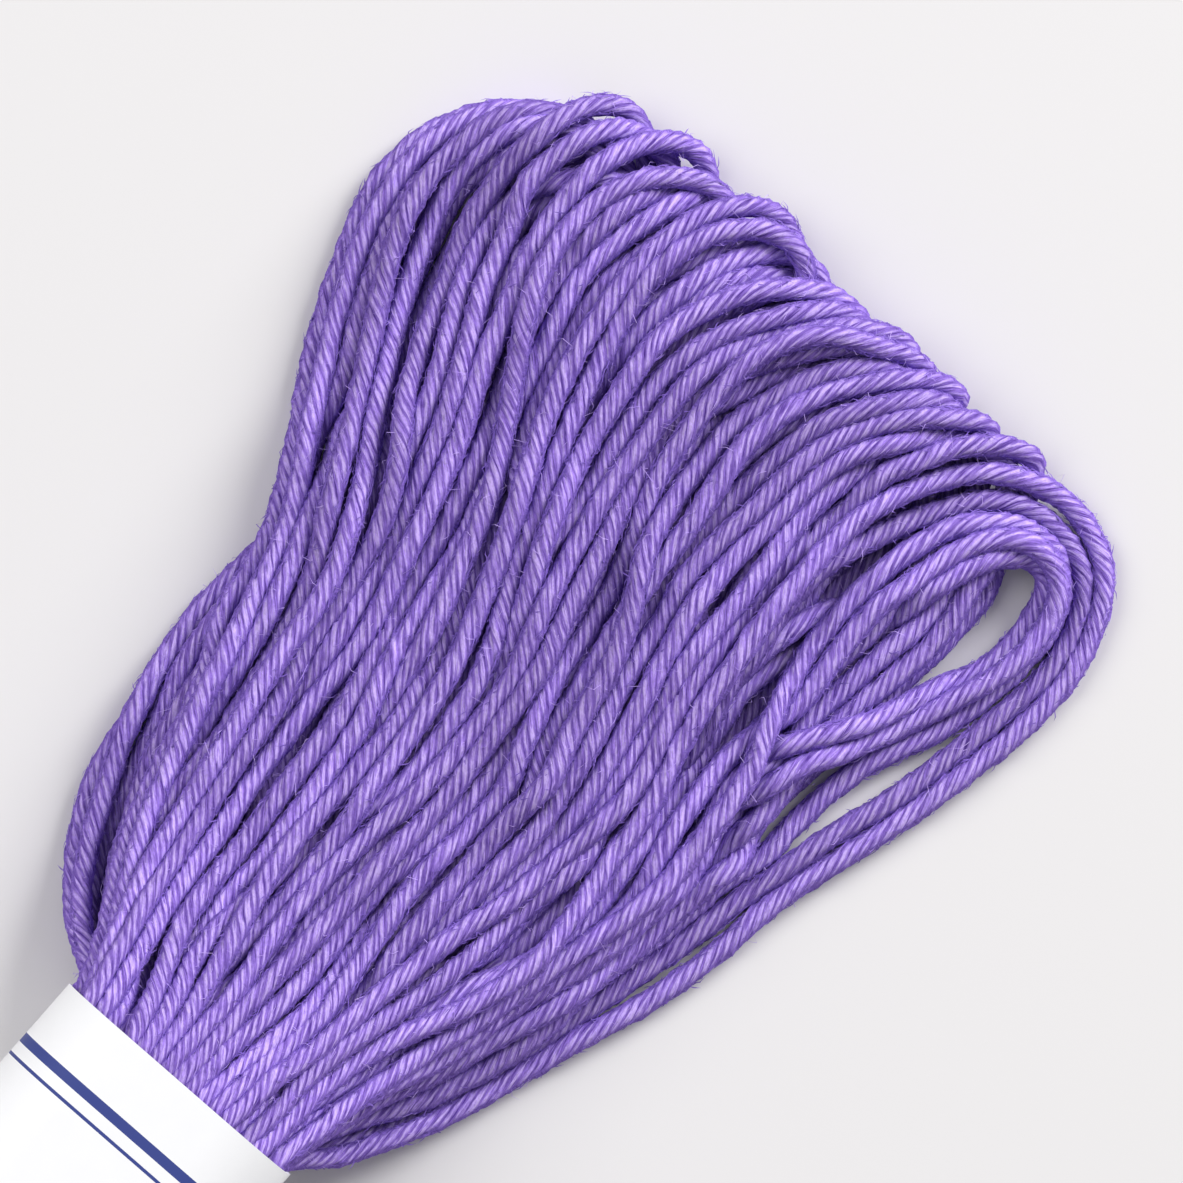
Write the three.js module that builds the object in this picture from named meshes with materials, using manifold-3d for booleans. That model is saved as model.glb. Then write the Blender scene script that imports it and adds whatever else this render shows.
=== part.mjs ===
// A skein of sashiko thread: plied cotton wound in long loops, fanned out at both ends and drawn together
// at the middle by a paper band. Millimetres, +Z up, +X along the hank towards its open, looped end.

import * as THREE from "three";
import { mergeVertices } from "three/addons/utils/BufferGeometryUtils.js";
import Module from "manifold-3d";

const wasm = await Module();
wasm.setup();

// The paper band
const BAND_LENGTH = 46;
const BAND_WIDTH = 11.5;
const BAND_HEIGHT = 10;
const BAND_CORNER = 3.2;
const BAND_THICKNESS = 1;
const CORNER_STEPS = 6;

// The hank
const FAN_REACH = 42; // from the band's mouth to the furthest loop tips
const UPPER_RIDGES = 16; // bundles of strands across the upper limb
const UNDER_RIDGES = 12; // bundles of strands across the under limb
const RIDGE_RELIEF = 0.4; // height of a bundle over its groove, as a share of its width
const WIDEST_RIDGE = 1.5; // a wider bundle gets no more relief
const TIP_SCALLOP = 0.2; // how far a bundle's tip stands past its grooves
const FLOOR_GROOVE = 0.35; // depth of the grooves between strands that lie on the table
const EDGE_LEVEL = 0.42; // where a limb's rounded edge lies between its low and high sides
const FAN_STATIONS = 18;
const BAND_STATIONS = 3;

const YARN = new THREE.MeshStandardMaterial({ color: 0x7f66b6, roughness: 0.85, metalness: 0 });
const PAPER = new THREE.MeshStandardMaterial({ color: 0xfbfcfe, roughness: 0.7, metalness: 0 });

// Sections of the upper limb: distance past the band, edges to the left and right, under side and top
const UPPER_LIMB = [
  { past: 0, left: 4.0, right: -4.0, low: 4.2, high: 8.55 },
  { past: 0.5, left: 4.4, right: -4.3, low: 4.2, high: 8.6 },
  { past: 1.6, left: 5.7, right: -5.2, low: 4.0, high: 8.9 },
  { past: 5, left: 7.6, right: -6.4, low: 3.0, high: 8.2 },
  { past: 10, left: 9.6, right: -7.6, low: 2.2, high: 6.9 },
  { past: 15, left: 11.0, right: -8.2, low: 1.8, high: 6.0 },
  { past: 20, left: 12.6, right: -8.2, low: 1.5, high: 5.5 },
  { past: 25, left: 15.3, right: -7.8, low: 1.4, high: 5.2 },
  { past: 30, left: 17.4, right: -8.0, low: 1.3, high: 5.0 },
  { past: 35, left: 17.8, right: -9.4, low: 1.2, high: 4.8 },
  { past: 39, left: 16.6, right: -11.4, low: 1.3, high: 4.3 },
  { past: 41, left: 15.6, right: -12.6, low: 1.6, high: 3.5 },
  { past: 42, left: 15.0, right: -13.0, low: 1.9, high: 2.6 },
];

// Sections of the under limb, which comes back beneath and lies on the table
const UNDER_LIMB = [
  { past: 0, left: 4.0, right: -4.0, low: 1.4, high: 5.2 },
  { past: 0.5, left: 4.5, right: -4.4, low: 1.3, high: 5.2 },
  { past: 1.6, left: 7.2, right: -6.5, low: 0.6, high: 5.4 },
  { past: 4, left: 9.5, right: -8.0, low: 0, high: 4.9 },
  { past: 8, left: 11.4, right: -10.2, low: 0, high: 4.0 },
  { past: 12, left: 12.0, right: -11.4, low: 0, high: 3.4 },
  { past: 16, left: 12.2, right: -12.0, low: 0, high: 3.0 },
  { past: 20, left: 11.6, right: -11.6, low: 0, high: 2.8 },
  { past: 26, left: 13.2, right: -10.4, low: 0, high: 2.6 },
  { past: 32, left: 15.4, right: -10.8, low: 0, high: 2.5 },
  { past: 37, left: 15.2, right: -11.4, low: 0, high: 2.4 },
  { past: 40, left: 14.2, right: -11.8, low: 0.5, high: 2.3 },
  { past: 42, left: 13.6, right: -12.2, low: 1.3, high: 2.1 },
];

// The line of the loop tips: place across the fan, from right edge to left, and how far out it reaches
const TIP_LINE = [
  { across: -1, reach: 40.4 },
  { across: -0.65, reach: 41.2 },
  { across: -0.36, reach: 41.4 },
  { across: -0.07, reach: 41.3 },
  { across: 0.21, reach: 42 },
  { across: 0.42, reach: 41 },
  { across: 0.6, reach: 41.8 },
  { across: 0.82, reach: 41.2 },
  { across: 0.95, reach: 39.3 },
  { across: 1, reach: 38.4 },
];

// Strands that swing out at the right: the outermost ones, and those that lie round an open eye
const RETURN_STRANDS = [
  { past: 39.2, across: -8.6, rise: 2.2 },
  { past: 40.3, across: -11.2, rise: 2.2 },
  { past: 39.5, across: -13.8, rise: 1.9 },
  { past: 37.2, across: -15.1, rise: 1.5 },
  { past: 33, across: -15.4, rise: 1.2 },
  { past: 27, across: -14.4, rise: 1.2 },
  { past: 20, across: -12.4, rise: 1.3 },
  { past: 12, across: -10.3, rise: 1.6 },
  { past: 5, across: -7.2, rise: 2.2 },
];
const EYE_STRANDS = [
  { past: 18, across: -9.2, rise: 2.2 },
  { past: 25, across: -9.3, rise: 2.0 },
  { past: 32, across: -10.1, rise: 1.7 },
  { past: 36.6, across: -10.9, rise: 1.6 },
  { past: 38.6, across: -12.5, rise: 1.7 },
  { past: 37.2, across: -13.9, rise: 1.9 },
  { past: 34, across: -13.4, rise: 2.0 },
  { past: 29, across: -11.4, rise: 2.2 },
  { past: 22, across: -9.3, rise: 2.2 },
];
const RETURN_RADIUS = 1.15;
const EYE_RADIUS = 0.9;
const STRAND_SIDES = 8;
const STRAND_STEPS = 32;

// Smooth curves through a table's columns, read at any value of its first column
function tableCurve(rows) {
  const names = Object.keys(rows[0]);
  const key = names.shift();
  const values = rows.flatMap((row) => names.map((name) => row[name]));
  const curve = new THREE.CubicInterpolant(rows.map((row) => row[key]), values, names.length);
  return (at) => {
    const found = curve.evaluate(at);
    return Object.fromEntries(names.map((name, i) => [name, found[i]]));
  };
}

// The end that lies out of sight is taken as the same fan, even on both sides
function evenRows(rows) {
  return rows.map((row) => {
    const half = (row.left - row.right) / 2;
    return { ...row, left: half, right: -half };
  });
}

// Places along the hank, closer together at the mouths and at the loop tips
function hankStations() {
  const mouth = BAND_LENGTH / 2;
  const fan = [];
  for (let i = 0; i <= FAN_STATIONS; i += 1) {
    const past = (FAN_REACH / 2) * (1 - Math.cos((Math.PI * i) / FAN_STATIONS));
    fan.push({ mouth, past, inside: 0 });
  }
  const back = fan.map((station) => ({ ...station, mouth: -mouth })).reverse();
  const band = [];
  for (let i = 1; i <= BAND_STATIONS; i += 1) {
    band.push({ mouth: -mouth, past: 0, inside: (BAND_LENGTH * i) / (BAND_STATIONS + 1) });
  }
  return [...back, ...band, ...fan];
}

// A rounded edge: full over the middle, falling to nothing at the edges
function crown(across, flat) {
  const over = Math.max(0, (Math.abs(across) - flat) / (1 - flat));
  return Math.sqrt(Math.max(0, 1 - over * over));
}

// One limb of the hank, lofted through its sections, with its bundles of strands raised along it
function limbGeometry(rows, ridges, onTable) {
  const frontSection = tableCurve(rows);
  const backSection = tableCurve(evenRows(rows));
  const tipLine = tableCurve(TIP_LINE);
  const last = 2 * ridges;
  const ringSize = 2 * last;
  const positions = [];

  const addPoint = (station, section, column, side) => {
    const across = 1 - (2 * column) / last;
    const edge = column === 0 || column === last;
    const crest = column % 2 === 1 ? 1 : -1;
    const ease = (station.past / FAN_REACH) ** 3;
    const tip = tipLine(across).reach - FAN_REACH + crest * TIP_SCALLOP;
    const along = station.past + tip * ease;
    const middle = THREE.MathUtils.lerp(section.low, section.high, EDGE_LEVEL);
    const bundle = Math.min((section.left - section.right) / ridges, WIDEST_RIDGE);
    let height = middle;
    if (!edge && side > 0) {
      const relief = crest * RIDGE_RELIEF * 0.5 * bundle;
      height += (section.high - middle) * crown(across, 0.2) + relief * crown(across, 0.6);
    }
    if (!edge && side < 0) {
      const groove = onTable && column % 3 === 0 ? FLOOR_GROOVE : 0;
      height -= (middle - Math.max(0, section.low)) * crown(across, 0.7) - groove;
    }
    positions.push(
      station.mouth + station.inside + Math.sign(station.mouth) * along,
      THREE.MathUtils.lerp(section.right, section.left, (across + 1) / 2),
      height,
    );
  };

  const stations = hankStations();
  for (const station of stations) {
    const section = (station.mouth > 0 ? frontSection : backSection)(station.past);
    for (let column = 0; column <= last; column += 1) addPoint(station, section, column, 1);
    for (let column = last - 1; column >= 1; column -= 1) addPoint(station, section, column, -1);
  }

  const faces = [];
  for (let i = 0; i + 1 < stations.length; i += 1) {
    for (let k = 0; k < ringSize; k += 1) {
      const a = i * ringSize + k;
      const b = i * ringSize + ((k + 1) % ringSize);
      faces.push(a, b, a + ringSize, b, b + ringSize, a + ringSize);
    }
  }
  const closeEnd = (start, outward) => {
    const top = (column) => start + column;
    const under = (column) => start + ((ringSize - column) % ringSize);
    for (let column = 0; column < last; column += 1) {
      const corners = [top(column), top(column + 1), under(column + 1), under(column)];
      if (!outward) corners.reverse();
      const [a, b, c, d] = corners;
      if (new Set([a, b, c]).size === 3) faces.push(a, b, c);
      if (new Set([a, c, d]).size === 3) faces.push(a, c, d);
    }
  };
  closeEnd(0, false);
  closeEnd((stations.length - 1) * ringSize, true);

  const geometry = new THREE.BufferGeometry();
  geometry.setAttribute("position", new THREE.Float32BufferAttribute(positions, 3));
  geometry.setIndex(faces);
  return geometry;
}

// A bundle of strands that leaves the rest of the fan, as a tube along its path
function strandGeometry(path, radius) {
  const mouth = BAND_LENGTH / 2;
  const points = path.map((point) => new THREE.Vector3(mouth + point.past, point.across, point.rise));
  const shape = new THREE.Shape();
  for (let i = 0; i < STRAND_SIDES; i += 1) {
    const angle = (2 * Math.PI * (i + 0.5)) / STRAND_SIDES;
    const corner = [radius * Math.cos(angle), radius * Math.sin(angle)];
    if (i === 0) shape.moveTo(...corner);
    else shape.lineTo(...corner);
  }
  shape.closePath();
  const extrudePath = new THREE.CatmullRomCurve3(points);
  return new THREE.ExtrudeGeometry(shape, { steps: STRAND_STEPS, extrudePath, bevelEnabled: false });
}

function toSolid(geometry) {
  const bare = geometry.clone();
  bare.deleteAttribute("normal");
  bare.deleteAttribute("uv");
  const merged = mergeVertices(bare);
  const vertProperties = new Float32Array(merged.attributes.position.array);
  const triVerts = new Uint32Array(merged.index.array);
  return new wasm.Manifold(new wasm.Mesh({ numProp: 3, vertProperties, triVerts }));
}

function toGeometry(solid) {
  const mesh = solid.getMesh();
  const geometry = new THREE.BufferGeometry();
  geometry.setAttribute("position", new THREE.BufferAttribute(mesh.vertProperties, 3));
  geometry.setIndex(new THREE.BufferAttribute(mesh.triVerts, 1));
  geometry.computeVertexNormals();
  return geometry;
}

function hankGeometry() {
  const pieces = [
    limbGeometry(UPPER_LIMB, UPPER_RIDGES, false),
    limbGeometry(UNDER_LIMB, UNDER_RIDGES, true),
    strandGeometry(RETURN_STRANDS, RETURN_RADIUS),
    strandGeometry(EYE_STRANDS, EYE_RADIUS),
  ];
  return toGeometry(pieces.map(toSolid).reduce((joined, piece) => joined.add(piece)));
}

// A rounded rectangle that stands on the table, drawn across the hank
function bandOutline(shape, inset) {
  const half = BAND_WIDTH / 2 - inset;
  const low = inset;
  const high = BAND_HEIGHT - inset;
  const corner = BAND_CORNER - inset;
  shape.moveTo(half - corner, low);
  shape.absarc(half - corner, low + corner, corner, -Math.PI / 2, 0);
  shape.absarc(half - corner, high - corner, corner, 0, Math.PI / 2);
  shape.absarc(corner - half, high - corner, corner, Math.PI / 2, Math.PI);
  shape.absarc(corner - half, low + corner, corner, Math.PI, 1.5 * Math.PI);
  shape.closePath();
  return shape;
}

function bandGeometry() {
  const section = bandOutline(new THREE.Shape(), 0);
  section.holes.push(bandOutline(new THREE.Path(), BAND_THICKNESS));
  const options = { depth: BAND_LENGTH, curveSegments: CORNER_STEPS, bevelEnabled: false };
  const geometry = new THREE.ExtrudeGeometry(section, options);
  const across = new THREE.Vector3(0, 1, 0);
  const up = new THREE.Vector3(0, 0, 1);
  const along = new THREE.Vector3(1, 0, 0);
  geometry.applyMatrix4(new THREE.Matrix4().makeBasis(across, up, along));
  geometry.translate(-BAND_LENGTH / 2, 0, 0);
  return geometry;
}

function namedMesh(name, geometry, material) {
  const mesh = new THREE.Mesh(geometry, material);
  mesh.name = name;
  return mesh;
}

const skein = new THREE.Group();
skein.add(namedMesh("hank", hankGeometry(), YARN));
skein.add(namedMesh("paper_band", bandGeometry(), PAPER));

// The origin is on the table, under the middle of the whole skein
const middle = new THREE.Box3().setFromObject(skein).getCenter(new THREE.Vector3());
skein.position.set(-middle.x, -middle.y, 0);

export default skein;
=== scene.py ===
import math
import time

import bpy
import numpy as np
from mathutils import Matrix, Vector


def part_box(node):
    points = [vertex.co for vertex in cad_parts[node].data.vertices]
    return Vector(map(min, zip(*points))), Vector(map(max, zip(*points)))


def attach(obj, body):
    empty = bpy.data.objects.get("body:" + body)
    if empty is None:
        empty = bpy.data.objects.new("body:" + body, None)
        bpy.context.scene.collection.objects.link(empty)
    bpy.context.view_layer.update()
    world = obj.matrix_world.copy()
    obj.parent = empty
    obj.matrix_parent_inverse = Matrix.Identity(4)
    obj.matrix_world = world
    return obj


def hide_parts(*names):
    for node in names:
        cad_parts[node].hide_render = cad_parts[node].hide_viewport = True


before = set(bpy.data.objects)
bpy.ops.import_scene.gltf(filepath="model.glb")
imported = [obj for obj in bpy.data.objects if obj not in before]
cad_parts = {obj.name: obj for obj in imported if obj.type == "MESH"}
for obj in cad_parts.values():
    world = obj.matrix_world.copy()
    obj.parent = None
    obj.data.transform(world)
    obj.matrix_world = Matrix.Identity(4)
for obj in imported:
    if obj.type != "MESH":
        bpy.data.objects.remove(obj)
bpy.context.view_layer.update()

startTime = time.time()
mm = 0.001

# lengths are in millimetres until a mesh is made

scene = bpy.context.scene
bandLow, bandHigh = [np.array(corner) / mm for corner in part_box("paper_band")]
bandMiddle = (bandLow + bandHigh) / 2


def report(stage):
    print("%-28s %5.1f s" % (stage, time.time() - startTime))


# the thread: plies laid round each other in a left-hand twist

thread = {
    "diameter": (0.79, 0.87),     # in the band, and out in the fan
    "room": (0.72, 0.95),         # what a strand takes up beside its neighbours, in the band and in the fan
    "loosen": 14.0,               # how far past the band it has all its room
    "square": 2.25,               # how far a strand is pressed out of the round, 2 for not at all
    "plies": 8,
    "lay": 4.2,                   # length of one full turn of the plies
    "layDrift": 0.22,             # how much the twist tightens and slackens along a strand
    "driftWaves": (3.1, 7.3),
    "relief": 0.1,                # how far a ply stands out, as a share of the radius
    "uneven": 0.045,              # spread of the plies' thickness
    "slub": 0.06,                 # thick and thin places along a strand
    "slubWaves": (0.7, 1.9, 4.3),
    "fineStep": (0.4, 0.66),      # between rings where a strand shows, at the open and the far end
    "coarseStep": 1.4,            # between rings where other strands cover it
    "offTable": 0.02,             # what lies lower is pressed flat
    "loopsPerPiece": 14,
}

hank = {
    "seed": 7,
    "loops": 70,
    "rows": 10,                   # of strands, one over another, inside the band
    "crowding": 2,                # strands in a row beyond those that have room
    "stagger": 0.25,              # of each row against the next, in strands
    "pointsPerLoop": 160,
    "stepsPerSpan": 12,           # of the curve through a loop's places
    "mouth": (-4, -1, 0.3),       # strands run straight through these places along the band's edge
    "topLayer": 3.7,              # heights the strands are laid at before they settle
    "coveredLayer": 2.6,
    "underLayer": (1.9, 2.6),
    "backLayer": (0.45, 1.7),
    "skin": 3.0,                  # limbs laid this high at the band lie next to the paper
    "comeDown": (18, 14),         # how far past the band limbs are at their height, going out and coming back
    "climb": 4,                   # length in which a limb rises to the top, or dives
    "turnSteps": 11,
    "drop": (0.2, 0.9),           # shares of the turn between which a loop goes down to its back limb
    "orderAt": 12,                # how far past the band the back limbs are put in order
    "wander": (0.08, 0.5),        # how far the strands on top, and those under them, stray from their paths
    "wanderWaves": (28, 60),
    "tipSpread": 0.3,             # how unevenly the hidden loops reach out
    "hold": (0.06, 0.015, 0.09),  # pull to the laid path: strands on top, hidden ones, rim loops
}

# Loops of the open end, from left to right. A limb goes out through the places across the hank at 5, 10 ...
# 30 past the band, and lies on top from where it rises to where it dives under others. The loop turns from
# turnAt round its tip and goes back under the hank, drawing in to the band as backShape tells.

loopColumns = ("rises", "dives", "out5", "out10", "out15", "out20", "out25", "out30",
               "turnAt", "outTurn", "tip", "tipAcross", "backTurn")
topLoops = [
    (13, 24, 7.0, 8.7, 9.9, 11.5, 14.2, 16.4, 33.4, 17.0, 38.6, 13.8, 10.4),
    (24, 99, 6.6, 7.7, 8.7, 9.8, 12.4, 15.4, 34.0, 16.4, 39.0, 13.2, 9.6),
    (0, 99, 6.4, 7.5, 8.2, 9.1, 11.55, 14.3, 34.4, 15.6, 38.8, 12.6, 9.0),
    (0, 99, 5.6, 6.5, 7.2, 8.0, 9.9, 12.6, 36.4, 14.15, 41.0, 11.8, 9.4),
    (25, 99, 5.4, 6.2, 6.8, 7.4, 8.7, 10.9, 36.2, 13.1, 40.7, 10.6, 8.1),
    (0, 99, 4.9, 5.55, 6.05, 6.7, 8.0, 9.7, 37.4, 11.45, 41.45, 9.0, 6.6),
    (0, 25, 3.95, 4.4, 4.8, 5.6, 7.1, 8.8, 35.0, 9.6, 39.9, 7.5, 5.4),
    (9, 24, 3.15, 3.3, 3.75, 4.8, 6.45, 8.0, 34.5, 9.1, 40.2, 6.9, 4.6),
    (18, 99, 2.6, 2.9, 3.3, 4.1, 5.75, 8.5, 35.4, 10.75, 40.6, 7.4, 4.2),
    (0, 7, 2.8, 2.5, 2.4, 2.9, 4.4, 6.6, 34.5, 8.2, 40.0, 5.6, 3.0),
    (0, 18, 1.85, 2.75, 2.65, 3.2, 4.9, 6.3, 34.5, 7.2, 40.2, 4.4, 1.6),
    (8, 99, 1.5, 1.6, 1.65, 2.65, 4.55, 6.5, 36.0, 7.65, 41.75, 4.5, 1.4),
    (16, 99, 1.0, 0.9, 0.95, 1.55, 3.45, 5.25, 36.2, 7.0, 41.0, 4.1, 1.2),
    (36, 99, 0.6, 0.7, 0.9, 1.6, 3.6, 4.9, 35.0, 5.7, 40.8, 2.9, 0.0),
    (25, 99, 0.4, 0.5, 0.6, 1.1, 3.0, 4.3, 34.0, 4.8, 40.5, -0.4, -2.4),
    (31, 99, 0.2, 0.3, 0.4, 0.8, 2.4, 3.5, 34.0, 3.7, 40.5, -1.9, -3.2),
    (0, 99, 0.7, 0.8, 0.5, 0.7, 1.85, 2.75, 34.0, 2.85, 40.45, -2.6, -3.8),
    (0, 28, -0.1, -0.2, -0.55, -0.1, 0.75, 1.9, 34.0, 2.3, 40.2, -3.0, -4.2),
    (0, 11, -1.1, -0.9, -1.3, -0.2, 2.2, 4.6, 33.5, 5.2, 39.8, 2.4, 0.4),
    (0, 99, -2.7, -2.25, -2.0, -1.35, -0.15, 1.45, 35.0, 2.0, 40.65, -3.8, -4.9),
    (0, 5, -1.95, -1.9, -1.2, 0.2, 1.6, 3.0, 33.0, 3.2, 39.8, 0.6, -1.2),
    (8, 99, -2.9, -3.15, -3.15, -2.75, -1.4, 0.2, 33.5, 0.6, 40.4, -4.6, -5.4),
    (26, 99, -2.6, -2.9, -2.9, -2.3, -1.3, -0.7, 33.0, -0.45, 40.55, -5.6, -4.6),
    (26, 99, -2.4, -2.7, -2.7, -2.5, -1.75, -1.35, 33.0, -1.55, 40.2, -7.0, -8.8),
    (12, 99, -3.2, -3.6, -4.2, -3.75, -2.6, -2.15, 32.5, -2.5, 40.35, -7.7, -9.3),
    (17, 99, -3.6, -4.2, -5.0, -4.5, -3.5, -2.85, 32.5, -3.2, 40.4, -8.2, -9.6),
    (21, 31, -3.8, -4.6, -5.4, -5.1, -4.35, -4.05, 32.5, -4.0, 40.2, -5.2, -4.6),
    (6, 99, -3.3, -4.2, -5.15, -5.65, -5.05, -4.65, 34.0, -4.7, 41.15, -9.6, -10.4),
    (0, 14, -4.1, -5.1, -5.95, -5.6, -4.0, -2.4, 33.0, -2.4, 39.8, -4.2, -5.0),
    (0, 21, -5.2, -6.35, -6.9, -6.55, -5.2, -3.8, 33.0, -3.4, 39.6, -4.8, -4.6),
]

# Loops that lie under those, by their share of the way from left to right
underLoops = [
    (0.00, 6.5, 8.2, 9.7, 11.0, 13.9, 16.2, 33.2, 16.9, 38.2, 14.0, 11.0),
    (0.15, 4.9, 6.2, 7.2, 8.2, 10.2, 12.6, 34.0, 13.8, 38.4, 11.0, 8.4),
    (0.36, 2.7, 3.6, 4.4, 5.4, 6.8, 8.2, 34.0, 8.9, 38.8, 6.0, 2.8),
    (0.60, 0.5, 1.0, 1.6, 2.4, 3.5, 4.4, 33.5, 4.4, 39.4, 0.6, -2.0),
    (0.90, -2.4, -2.6, -2.2, -1.6, -0.6, 0.2, 33.0, -0.2, 39.6, -4.2, -4.2),
    (1.00, -3.8, -4.2, -4.0, -3.6, -2.8, -2.2, 32.5, -2.6, 39.5, -6.4, -4.4),
]
backShape = [(5, 0.64), (10, 0.8), (15, 0.9), (20, 0.95), (25, 0.98), (30, 1.0)]

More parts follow.
